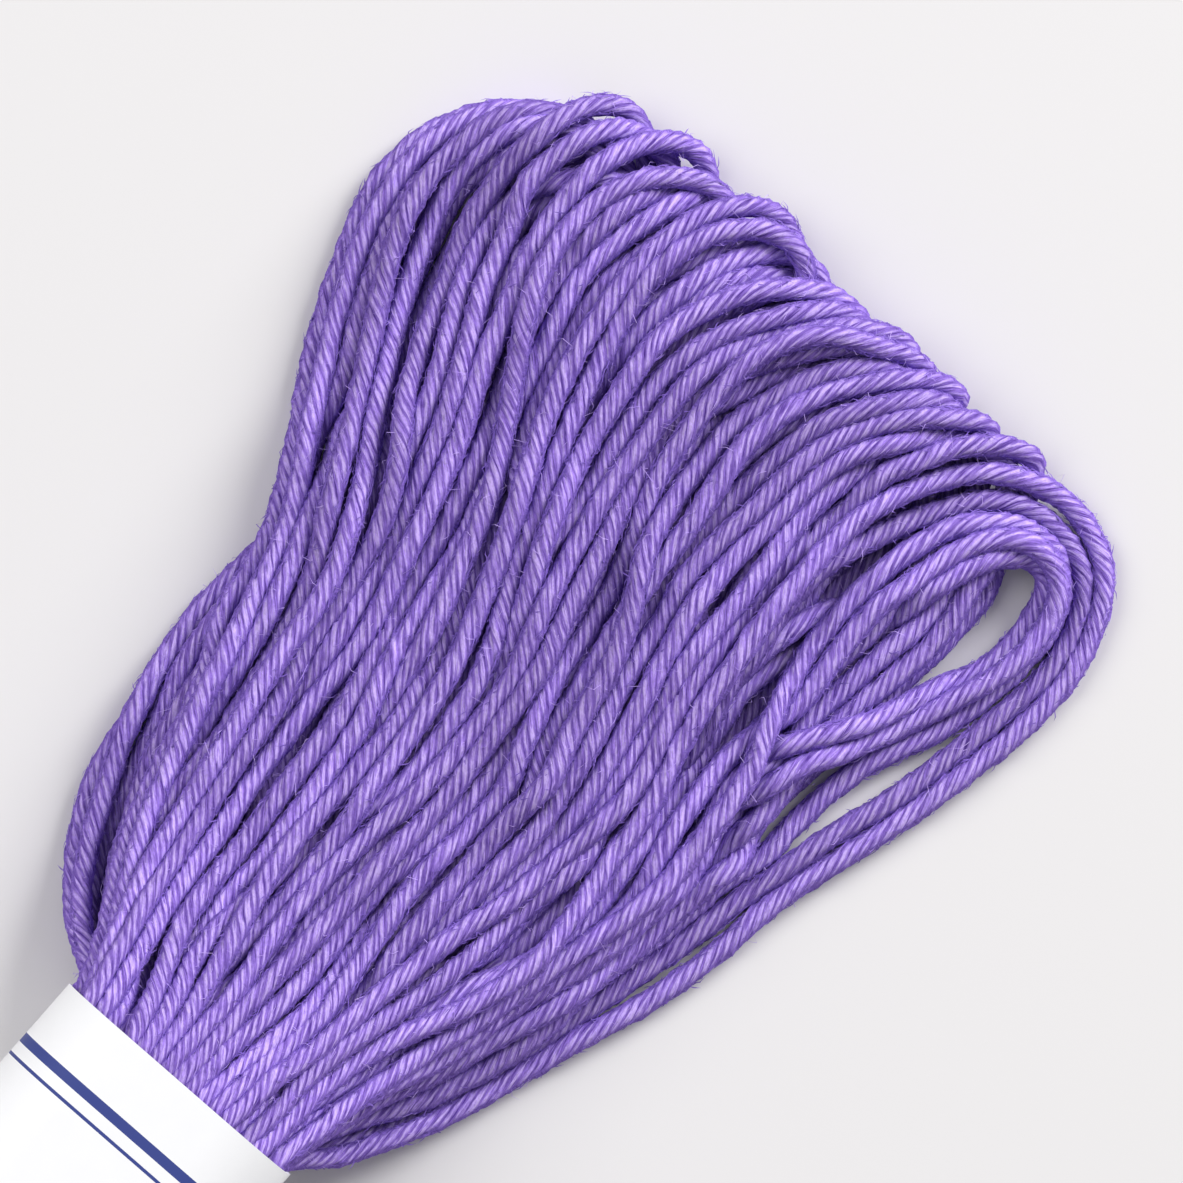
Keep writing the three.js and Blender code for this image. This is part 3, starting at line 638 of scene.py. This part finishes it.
def fibreSpots(strands, wanted, rng):
    # places where fibres start: in a strand's middle, with its way, the directions across it and its radius
    starts = np.concatenate([path[:-1][shows[:-1]] for path, shows in strands])
    steps = np.concatenate([np.diff(path, axis=0)[shows[:-1]] for path, shows in strands])
    pick = rng.choice(np.flatnonzero(np.abs(starts[:, 0]) > bandHigh[0] + hank["mouth"][-1]), wanted)
    along = steps[pick] / np.linalg.norm(steps[pick], axis=1)[:, None]
    spots = starts[pick] + steps[pick] * rng.uniform(0, 1, (wanted, 1))
    radius = loosened(*thread["diameter"], np.abs(spots[:, :1]) - bandHigh[0]) / 2
    return spots, along, *crossways(along), radius


def fibreMesh(name, points, faces):
    # one mesh of many alike fibres: their points, and the corners of one fibre's faces
    count, corners = points.shape[:2]
    start = corners * np.arange(count)[:, None]
    lists = [corner for face in faces for corner in (start + np.array(face)).tolist()]
    points[:, :, 2] = np.maximum(points[:, :, 2], fibres["offTable"])
    mesh = bpy.data.meshes.new(name)
    mesh.from_pydata((points.reshape(-1, 3) * mm).tolist(), [], lists)
    return mesh


hairs = {
    "perEnd": (6500, 2500),   # stray fibres on the open and the far end
    "thickness": 0.024,
    "thinning": (0.5, 0.45),  # radius at the foot and the knee, in thicknesses
    "corners": (0.5, 2.6, 4.7),
    "length": (0.25, 1.5),
    "lengthSpread": (1.1, 3.5),
    "around": (-0.4, math.pi + 0.4),
    "lift": 0.12,             # how far a fibre stands off its strand
    "liftSpread": (1.5, 0.6),
    "tipLift": (-0.4, 1.2),
    "reach": (0.5, 0.95),     # shares of the length at the knee and the tip
    "bend": 0.3,
    "faces": [(0, 1, 4, 3), (1, 2, 5, 4), (2, 0, 3, 5), (2, 1, 0), (3, 4, 6), (4, 5, 6), (5, 3, 6)],
    "mottle": (700, 2),       # of the colour: scale and detail
}


def hairPoints(strands, wanted, rng):
    # fine three-sided hairs with one bend, pointing every way off their strands
    each = (wanted, 1)
    spots, along, side, up, radius = fibreSpots(strands, wanted, rng)
    around, heading = rng.uniform(*hairs["around"], each), rng.uniform(0, 2 * math.pi, each)
    out = np.cos(around) * side + np.sin(around) * up
    way = np.cos(heading) * along + np.sin(heading) * np.cross(along, out)
    aside = np.cross(out, way)
    shortest, longest = hairs["length"]
    length = shortest + (longest - shortest) * rng.beta(*hairs["lengthSpread"], each)
    lift = hairs["lift"] * rng.gamma(*hairs["liftSpread"], each)
    kneeReach, tipReach = hairs["reach"]
    foot = spots + out * radius * fibres["foot"]
    knee = foot + way * length * kneeReach + out * lift
    tip = foot + way * length * tipReach + out * lift * rng.uniform(*hairs["tipLift"], each)
    tip += aside * length * rng.normal(0, hairs["bend"], each)
    points = []
    for place, thin in zip((foot, knee), hairs["thinning"]):
        for turn in hairs["corners"]:
            points.append(place + thin * hairs["thickness"] * (math.cos(turn) * out + math.sin(turn) * aside))
    return np.stack([*points, tip], 1)


felt = {
    "perEnd": (26000, 5000),  # short fibres that fill the grooves between the strands
    "width": 0.045,
    "length": (0.2, 0.8),
    "around": (-0.2, 0.75),   # up from a strand's side
    "heading": 0.45,          # how far they turn from the strand's way
    "lift": 0.045,
    "liftSpread": (2.0, 0.5),
    "tipLift": (-0.5, 1.5),
    "faces": [(0, 1, 2, 3), (3, 2, 4)],
    "mottle": (3000, 2),
}


def feltPoints(strands, wanted, rng):
    # flat pointed fibres on both sides of a strand, running mostly along it
    each = (wanted, 1)
    spots, along, side, up, radius = fibreSpots(strands, wanted, rng)
    left = rng.choice([-1.0, 1.0], each)
    around = rng.uniform(*felt["around"], each)
    out = np.cos(around) * side * left + np.sin(around) * up
    heading = rng.normal(0, felt["heading"], each)
    way = (np.cos(heading) * along + np.sin(heading) * np.cross(along, out)) * rng.choice([-1.0, 1.0], each)
    aside = np.cross(out + up, way)
    aside *= felt["width"] / 2 / np.linalg.norm(aside, axis=1)[:, None]
    length = rng.uniform(*felt["length"], each)
    lift = felt["lift"] * rng.gamma(*felt["liftSpread"], each)
    foot = spots + out * radius * fibres["foot"]
    knee = foot + way * length * 0.5 + out * lift
    tip = foot + way * length + out * lift * rng.uniform(*felt["tipLift"], each)
    return np.stack([foot - aside, foot + aside, knee + aside, knee - aside, tip], 1)


def placed(loops, seen, front):
    # strands from a settled end to the hank's own place, run on to the middle of the band
    reach = (bandHigh[0] - bandLow[0]) / 2
    strands = []
    for path, shows in zip(loops, seen):
        inner = [np.array([[-reach, end[1], end[2]], [-reach / 2, end[1], end[2]]]) for end in (path[0], path[-1])]
        whole = np.concatenate([inner[0], path, inner[1][::-1]])
        x = bandHigh[0] + whole[:, 0] if front else bandLow[0] - whole[:, 0]
        strands.append((np.stack([x, bandMiddle[1] + whole[:, 1], whole[:, 2]], 1),
                        np.r_[False, False, shows, False, False]))
    return strands


# colours and finishes

colours = {
    "thread": (0.37, 0.227, 0.79),
    # painted shade in the grooves between the plies
    "plyGrooveShade": (0.076, 0.032, 0.25),
    # painted highlight on the plies' crests, also the light end of the stray fibres' colour
    "threadHighlight": (0.72, 0.56, 1.0),
    "threadSheen": (0.55, 0.4, 0.95),
    # felted fibres, their colours darkened to paint the shade in the grooves between the strands
    "felt": (0.33, 0.212, 0.72),
    "feltShade": (0.108, 0.053, 0.33),
    "paper": (0.93, 0.93, 0.95),
    "line": (0.03, 0.05, 0.25),
    "floor": (0.78, 0.765, 0.77),
}
bumpDepth = 0.05


def newMaterial(name):
    material = bpy.data.materials.new(name)
    material.use_nodes = True
    return material, material.node_tree, material.node_tree.nodes["Principled BSDF"]


def feed(tree, socket, value):
    # a socket takes a colour, a number or what another node puts out
    if isinstance(value, tuple):
        socket.default_value = (*value, 1)
    elif isinstance(value, (int, float)):
        socket.default_value = value
    else:
        tree.links.new(value, socket)


def mathNode(tree, operation, *values):
    node = tree.nodes.new("ShaderNodeMath")
    node.operation = operation
    for socket, value in zip(node.inputs, values):
        feed(tree, socket, value)
    return node.outputs[0]


def mixColour(tree, factor, first, second):
    node = tree.nodes.new("ShaderNodeMix")
    node.data_type = "RGBA"
    for socket, value in zip((node.inputs[0], node.inputs[6], node.inputs[7]), (factor, first, second)):
        feed(tree, socket, value)
    return node.outputs[2]


def addBump(tree, shader, height, strength):
    bump = tree.nodes.new("ShaderNodeBump")
    bump.inputs["Strength"].default_value = strength
    bump.inputs["Distance"].default_value = bumpDepth * mm
    tree.links.new(height, bump.inputs["Height"])
    tree.links.new(bump.outputs[0], shader.inputs["Normal"])


def mottleGroup():
    # a colour that drifts between two, and the noise it follows
    group = bpy.data.node_groups.new("mottle", "ShaderNodeTree")
    for name, kind in (("Scale", "Float"), ("Detail", "Float"), ("Dark", "Color"), ("Light", "Color")):
        group.interface.new_socket(name, in_out="INPUT", socket_type="NodeSocket" + kind)
    for name, kind in (("Colour", "Color"), ("Mottle", "Float")):
        group.interface.new_socket(name, in_out="OUTPUT", socket_type="NodeSocket" + kind)
    given, result = group.nodes.new("NodeGroupInput"), group.nodes.new("NodeGroupOutput")
    place = group.nodes.new("ShaderNodeTexCoord")
    noise = group.nodes.new("ShaderNodeTexNoise")
    group.links.new(place.outputs["Object"], noise.inputs["Vector"])
    for name in ("Scale", "Detail"):
        group.links.new(given.outputs[name], noise.inputs[name])
    colour = mixColour(group, noise.outputs[0], given.outputs["Dark"], given.outputs["Light"])
    group.links.new(colour, result.inputs["Colour"])
    group.links.new(noise.outputs[0], result.inputs["Mottle"])
    return group


mottle = mottleGroup()


def addMottle(tree, scale, detail, dark, light):
    node = tree.nodes.new("ShaderNodeGroup")
    node.node_tree = mottle
    for name, value in (("Scale", scale), ("Detail", detail), ("Dark", dark), ("Light", light)):
        feed(tree, node.inputs[name], value)
    return node.outputs


cottonLook = {
    # streaks along the plies: how many round a strand, how many in a millimetre, detail, gain and offset
    "filled": (14, 1.1, 2, 2.2, -0.95),  # fibres that fill the grooves between the plies
    "lines": (48, 1.4, 2, 3.6, -1.35),   # fine lines over all of it
    "fibre": (36, 1.7, 3, 4.6, -1.6),    # single fibres
    "patch": (9, 0.8, 2, 3.0, -0.8),     # where those come out as painted highlights
    "felt": (7, 11, 2, 3.0, -1.0),       # on the felted sides of a strand, in their painted shade
    "grain": (30, 9, 2, 0.8, 0.6),       # of the shade
    "waver": (9, 0.9, 1, 0.15),          # of the plies themselves
    "streakRoughness": 0.7,
    "sideFeltAndShade": (0.15, 0.7),               # where the felt and the painted side shade begin and are whole: between a strand's top, 0, and its side, 1
    "sideFeltAndShadeShare": 0.85,
    "plyShare": (0.55, 0.6),             # of the plies and the lines in the ridges
    "plyRound": (0.7, 1.6),              # how full the plies are, and how narrow their painted highlights
    "lightest": 0.62,
    "ownShade": (0.28, 0.86),            # spread and least of the strands' own shades
    "fibreBump": 0.35,
    "bump": 0.5,
    "roughness": 0.9,
    "sheen": (0.1, 0.5),                 # weight and roughness
}


def threadMaterial():
    material, tree, shader = newMaterial("plied cotton")
    look = cottonLook
    uv = tree.nodes.new("ShaderNodeUVMap")
    uv.uv_map = "threadMap"
    split = tree.nodes.new("ShaderNodeSeparateXYZ")
    tree.links.new(uv.outputs[0], split.inputs[0])

    def attribute(name):
        node = tree.nodes.new("ShaderNodeAttribute")
        node.attribute_name = name
        return node.outputs["Fac"]

    tone = attribute("strandTone")
    ownPlace = mathNode(tree, "MULTIPLY", tone, 50.0)   # each strand has its own part of the noise

    def streaks(across, along, detail, gain, offset):
        stretch = tree.nodes.new("ShaderNodeMapping")
        stretch.inputs["Scale"].default_value = (across, along, 1)
        tree.links.new(uv.outputs[0], stretch.inputs[0])
        noise = tree.nodes.new("ShaderNodeTexNoise")
        noise.noise_dimensions = "4D"
        noise.inputs["Scale"].default_value = 1.0
        noise.inputs["Detail"].default_value = detail
        noise.inputs["Roughness"].default_value = look["streakRoughness"]
        tree.links.new(stretch.outputs[0], noise.inputs["Vector"])
        tree.links.new(ownPlace, noise.inputs["W"])
        return mathNode(tree, "MULTIPLY_ADD", noise.outputs[0], gain, offset)

    def between(value, low, high):
        return mathNode(tree, "MINIMUM", mathNode(tree, "MAXIMUM", value, low), high)

    # the sides of a strand are felted, and darkened with painted shade toward the shaded felt colours
    flank = tree.nodes.new("ShaderNodeMapRange")
    flank.interpolation_type = "SMOOTHSTEP"
    flank.inputs["From Min"].default_value, flank.inputs["From Max"].default_value = look["sideFeltAndShade"]
    tree.links.new(attribute("strandFlank"), flank.inputs["Value"])
    sideFeltAndShade = flank.outputs[0]
    strandTop = mathNode(tree, "SUBTRACT", 1.0, sideFeltAndShade)

    # ridges of the plies, partly filled and drawn over with fine lines; painted shade darkens the grooves between
    # them
    wavering = streaks(*look["waver"], split.outputs[0])
    turn = mathNode(tree, "MULTIPLY", wavering, 2 * math.pi * thread["plies"])
    crest = mathNode(tree, "MULTIPLY_ADD", mathNode(tree, "COSINE", turn), 0.5, 0.5)
    full, narrow = look["plyRound"]
    plyShare, lineShare = look["plyShare"]
    plies = mathNode(tree, "MAXIMUM", mathNode(tree, "POWER", crest, full), streaks(*look["filled"]))
    plies = mathNode(tree, "MULTIPLY", plies, plyShare)
    ridge = between(mathNode(tree, "MULTIPLY_ADD", streaks(*look["lines"]), lineShare, plies), 0.0, 1.0)
    body = mixColour(tree, ridge, colours["plyGrooveShade"], colours["thread"])

    # painted highlight: light fibres along the middles of the plies, on a strand's top only
    fibre = streaks(*look["fibre"])
    middle = mathNode(tree, "MULTIPLY", mathNode(tree, "POWER", crest, narrow), strandTop)
    light = mathNode(tree, "MULTIPLY", mathNode(tree, "MULTIPLY", fibre, streaks(*look["patch"])), middle)
    body = mixColour(tree, between(light, 0.0, look["lightest"]), body, colours["threadHighlight"])

    felted = mixColour(tree, streaks(*look["felt"]), colours["feltShade"], colours["felt"])
    body = mixColour(tree, mathNode(tree, "MULTIPLY", sideFeltAndShade, look["sideFeltAndShadeShare"]), body, felted)
    shade = tree.nodes.new("ShaderNodeHueSaturation")
    ownShade = mathNode(tree, "MULTIPLY_ADD", tone, *look["ownShade"])
    tree.links.new(mathNode(tree, "MULTIPLY", ownShade, streaks(*look["grain"])), shade.inputs["Value"])
    tree.links.new(body, shade.inputs["Color"])
    tree.links.new(shade.outputs[0], shader.inputs["Base Color"])
    addBump(tree, shader, mathNode(tree, "MULTIPLY_ADD", fibre, look["fibreBump"], ridge), look["bump"])
    shader.inputs["Roughness"].default_value = look["roughness"]
    shader.inputs["Specular IOR Level"].default_value = 0.0
    shader.inputs["Sheen Weight"].default_value, shader.inputs["Sheen Roughness"].default_value = look["sheen"]
    shader.inputs["Sheen Tint"].default_value = (*colours["threadSheen"], 1)
    return material


def fibreMaterial(name, scaleAndDetail, dark, light):
    material, tree, shader = newMaterial(name)
    tint = addMottle(tree, *scaleAndDetail, dark, light)
    tree.links.new(tint["Colour"], shader.inputs["Base Color"])
    shader.inputs["Roughness"].default_value = cottonLook["roughness"]
    shader.inputs["Specular IOR Level"].default_value = fibres["specular"]
    return material


def paperMaterial():
    material, tree, shader = newMaterial("band paper")
    place = tree.nodes.new("ShaderNodeTexCoord")
    split = tree.nodes.new("ShaderNodeSeparateXYZ")
    tree.links.new(place.outputs["Object"], split.inputs[0])
    fromMiddle = mathNode(tree, "ABSOLUTE", split.outputs[0])
    fromEdge = mathNode(tree, "SUBTRACT", float(bandHigh[0] * mm), fromMiddle)
    lines = 0.0
    for middle, width in band["lines"]:
        off = mathNode(tree, "ABSOLUTE", mathNode(tree, "SUBTRACT", fromEdge, middle * mm))
        lines = mathNode(tree, "MAXIMUM", lines, mathNode(tree, "LESS_THAN", off, width / 2 * mm))
    shaded = tuple(band["grainShade"] * c for c in colours["paper"])
    tint = addMottle(tree, *band["grain"], shaded, colours["paper"])
    tree.links.new(mixColour(tree, lines, tint["Colour"], colours["line"]), shader.inputs["Base Color"])
    addBump(tree, shader, tint["Mottle"], band["grainBump"])
    shader.inputs["Roughness"].default_value = band["roughness"]
    return material


# the thread of both ends

cotton = threadMaterial()
frontLoops = openEnd()
report("open end settled")
backLoops = plainEnd()
report("far end settled")
rng = np.random.default_rng(hank["seed"] + 2)
frontStrands, frontTops = [placed(frontLoops, shows, True) for shows in showing(frontLoops)]
backStrands, backTops = [placed(backLoops, shows, False) for shows in showing(backLoops)]
perPiece = thread["loopsPerPiece"]
for label, strands, fineStep in zip(("open", "far"), (frontStrands, backStrands), thread["fineStep"]):
    for k in range(0, loopCount, perPiece):
        name = "thread_%s_%d" % (label, k // perPiece)
        threadPiece(name, strandMesh(name, strands[k:k + perPiece], fineStep, rng), cotton)
report("strands made")

# stray fibres are coloured between the thread's colour and its painted highlight colour
hairEnds = [hairPoints(*end, rng) for end in zip((frontStrands, backStrands), hairs["perEnd"])]
threadPiece("stray_fibres", fibreMesh("stray_fibres", np.concatenate(hairEnds), hairs["faces"]),
            fibreMaterial("stray cotton fibre", hairs["mottle"], colours["thread"], colours["threadHighlight"]))
# felt fibres are coloured between the darkened felt colours, as painted shade between the strands
feltEnds = [feltPoints(*end, rng) for end in zip((frontTops, backTops), felt["perEnd"])]
threadPiece("felt_fibres", fibreMesh("felt_fibres", np.concatenate(feltEnds), felt["faces"]),
            fibreMaterial("felted cotton fibre", felt["mottle"], colours["feltShade"], colours["felt"]))
report("fibres made")

# the paper band, a strip wrapped round the hank and lapped underneath


def wrapPath():
    # the strip's way round the hank, from under it, up over it and back to lap its own start
    half = (bandHigh[1] - bandLow[1]) / 2
    low, high, corner, paper = bandLow[2], bandHigh[2], band["corner"], band["paper"]
    lapStart, lapEnd = band["lap"]
    inner, outer = low + 2 * paper, low + 0.5 * paper    # the two layers of the lap
    radius = corner - paper / 2
    path = [(lapStart, inner), (lapStart / 2, inner), (0.0, low + 1.7 * paper)]
    for middle, start in (((half - corner, low + corner), -90), ((half - corner, high - corner), 0),
                          ((corner - half, high - corner), 90), ((corner - half, low + corner), 180)):
        for turn in np.radians(start + np.linspace(0, 90, band["cornerSteps"])):
            path.append((middle[0] + radius * math.cos(turn), middle[1] + radius * math.sin(turn)))
    path += [(lapStart / 2, outer), (lapEnd, outer)]
    return [Vector((0, bandMiddle[1] + across, level)) * mm for across, level in path]


def applyModifier(piece, modifier):
    bpy.context.view_layer.objects.active = piece
    bpy.ops.object.modifier_apply(modifier=modifier.name)


def paperBand():
    path = wrapPath()
    bpy.ops.object.select_all(action="DESELECT")
    bpy.ops.mesh.primitive_plane_add(size=1, location=(path[0] + path[1]) / 2)
    strip = bpy.context.object
    strip.name = "paper_wrap"
    strip.scale = ((bandHigh[0] - bandLow[0]) * mm, (path[1] - path[0]).length, 1)
    bpy.ops.object.transform_apply(location=True, rotation=False, scale=True)
    bpy.ops.object.mode_set(mode="EDIT")
    bpy.ops.mesh.select_all(action="DESELECT")
    bpy.ops.object.mode_set(mode="OBJECT")
    for vertex in strip.data.vertices:      # the strip's leading edge
        vertex.select = vertex.co.y > (path[0].y + path[1].y) / 2
    bpy.ops.object.mode_set(mode="EDIT")
    bpy.ops.mesh.select_mode(type="VERT")
    for here, ahead in zip(path[1:], path[2:]):
        bpy.ops.mesh.extrude_region_move(TRANSFORM_OT_translate={"value": ahead - here})
    for cut in np.linspace(bandLow[0], bandHigh[0], band["lengthSteps"] + 1)[1:-1]:
        bpy.ops.mesh.select_all(action="SELECT")
        bpy.ops.mesh.bisect(plane_co=(cut * mm, 0, 0), plane_no=(1, 0, 0))
    bpy.ops.mesh.select_all(action="SELECT")
    bpy.ops.mesh.normals_make_consistent(inside=False)
    bpy.ops.object.mode_set(mode="OBJECT")

    # the paper gives a little over the strands, and stays flat on the table
    loose = strip.vertex_groups.new(name="over the strands")
    flatTo = bandLow[2] + band["corner"] / 2
    loose.add([v.index for v in strip.data.vertices if v.co.z / mm > flatTo], 1.0, "REPLACE")
    depth, width = band["give"]
    ripple = bpy.data.textures.new("paper ripple", "CLOUDS")
    ripple.noise_scale = width * mm
    give = strip.modifiers.new("give", "DISPLACE")
    give.texture = ripple
    give.vertex_group = loose.name
    give.strength = depth * mm
    applyModifier(strip, give)
    solid = strip.modifiers.new("paper", "SOLIDIFY")
    solid.thickness = band["paper"] * mm
    solid.offset = 0
    applyModifier(strip, solid)
    bpy.ops.object.shade_smooth_by_angle(angle=math.radians(band["creaseAngle"]))
    strip.data.materials.append(paperMaterial())
    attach(strip, "root")
    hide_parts("paper_band")


paperBand()
report("band")

# floor, light and camera

view = {
    "across": 47.3,        # what the picture takes in, side to side
    "distance": 450.0,
    "sensor": 36,
    "clip": (0.01, 10),    # in metres
    "elevation": 87.0,
    "past": 25.43,         # the point at the picture's middle, past the band's edge and across
    "side": 0.45,
    "level": 3.0,
    "up": (0.755, 0.656),  # the picture's upward direction, seen in plan
}


def makeCamera():
    data = bpy.data.cameras.new("camera")
    data.sensor_width = view["sensor"]
    data.lens = view["sensor"] * view["distance"] / view["across"]
    data.clip_start, data.clip_end = view["clip"]
    camera = bpy.data.objects.new("camera", data)
    scene.collection.objects.link(camera)
    target = Vector((bandHigh[0] + view["past"], bandMiddle[1] + view["side"], view["level"])) * mm
    up = Vector((*view["up"], 0)).normalized()
    tilt = math.radians(view["elevation"])
    away = (Vector((0, 0, math.sin(tilt))) - up * math.cos(tilt)) * view["distance"] * mm
    camera.location = target + away
    z = away.normalized()
    x = up.cross(z).normalized()
    y = z.cross(x)
    camera.rotation_euler = Matrix((x, y, z)).transposed().to_euler()
    scene.camera = camera


studio = {
    "floorSize": 3,                            # in metres
    "floorRoughness": 0.9,
    "key": ((0.91, -0.13, 0.43), 0.6, 11.4),   # place and size in metres, watts
    "fill": ((-0.15, 0.6, 0.72), 0.8, 4.0),
    "world": 0.34,
}


def makeFloor():
    bpy.ops.object.select_all(action="DESELECT")
    bpy.ops.mesh.primitive_plane_add(size=studio["floorSize"])
    floor = bpy.context.object
    floor.name = "floor"
    material, tree, shader = newMaterial("pale floor")
    shader.inputs["Base Color"].default_value = (*colours["floor"], 1)
    shader.inputs["Roughness"].default_value = studio["floorRoughness"]
    floor.data.materials.append(material)


def makeLight(name):
    # a round light that faces the middle of the table
    place, size, watts = studio[name]
    data = bpy.data.lights.new(name, "AREA")
    data.shape = "DISK"
    data.size = size
    data.energy = watts
    light = bpy.data.objects.new(name, data)
    scene.collection.objects.link(light)
    light.location = place
    light.rotation_euler = Vector(place).to_track_quat("Z", "Y").to_euler()


def makeWorld():
    world = bpy.data.worlds.new("studio")
    world.use_nodes = True
    background = world.node_tree.nodes["Background"]
    background.inputs["Color"].default_value = (1, 1, 1, 1)
    background.inputs["Strength"].default_value = studio["world"]
    scene.world = world


makeCamera()
makeFloor()
makeLight("key")
makeLight("fill")
makeWorld()
scene.view_settings.view_transform = "Standard"
report("floor, light and camera")
